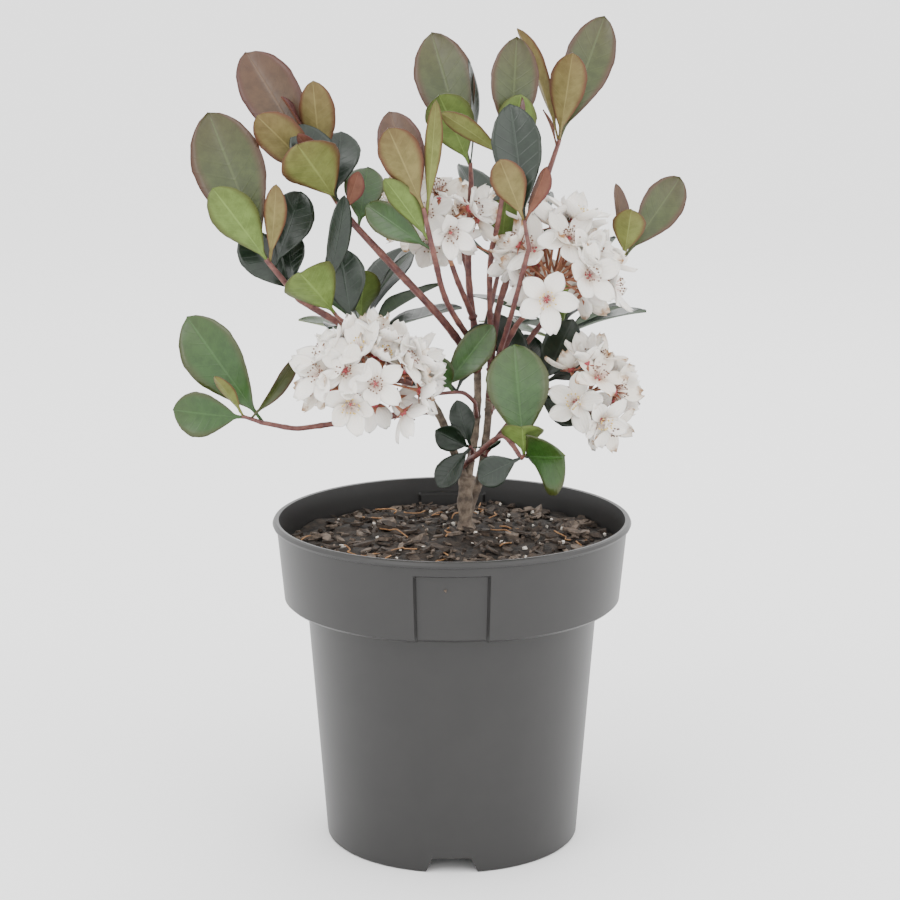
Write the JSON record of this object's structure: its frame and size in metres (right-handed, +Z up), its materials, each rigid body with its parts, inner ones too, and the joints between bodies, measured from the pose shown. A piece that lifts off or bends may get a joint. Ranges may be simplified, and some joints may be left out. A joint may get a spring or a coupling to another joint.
{
  "type": "potted indian hawthorn",
  "caption": "Small evergreen Indian hawthorn in bloom: leathery leaf whorls and white flower trusses on slim stems, in a round dark plastic nursery pot of compost.",
  "frame": {"origin": "centre of the pot's flat underside", "axes": "+Z up along the pot's axis, -Y towards the viewer of the picture, +X to the viewer's right"},
  "size_m": [0.1958, 0.1569, 0.3197],
  "materials": {
    "pot": "matt dark grey moulded plastic",
    "compost": "moist bark compost",
    "bark": "grey-brown furrowed bark",
    "young_bark": "maroon young bark",
    "leaf": "leathery, satin above and paler below",
    "petal": "soft matt white"
  },
  "bodies": {
    "root": {"bough_back": "young_bark", "bough_back_left": "young_bark", "bough_back_right": "young_bark", "bough_centre": "young_bark", "bough_front": "young_bark", "bough_front_low": "young_bark", "bough_inner_left": "young_bark", "bough_inner_low": "young_bark", "bough_inner_middle": "young_bark", "bough_inner_right": "young_bark", "bough_low_left": "young_bark", "bough_right": "young_bark", "bough_top_middle": "young_bark", "bough_upper_left": "young_bark", "compost": "compost", "flowers_back": "petal", "flowers_left": "petal", "flowers_low_right": "petal", "flowers_right": "petal", "flowers_top": "petal", "leaves_back": "leaf", "leaves_back_left": "leaf", "leaves_back_right": "leaf", "leaves_centre": "leaf", "leaves_front": "leaf", "leaves_front_low": "leaf", "leaves_inner_left": "leaf", "leaves_inner_low": "leaf", "leaves_inner_middle": "leaf", "leaves_inner_right": "leaf", "leaves_left": "leaf", "leaves_low_left": "leaf", "leaves_right": "leaf", "leaves_top": "leaf", "leaves_top_middle": "leaf", "leaves_top_right": "leaf", "leaves_upper_left": "leaf", "pot": "pot", "stem_left": "bark", "stem_middle": "bark", "stem_right": "bark", "trunk": "bark", "truss_stalk_back": "young_bark", "truss_stalk_left": "young_bark", "truss_stalk_low_right": "young_bark", "truss_stalk_right": "young_bark", "truss_stalk_top": "young_bark"}
  },
  "joints": []
}
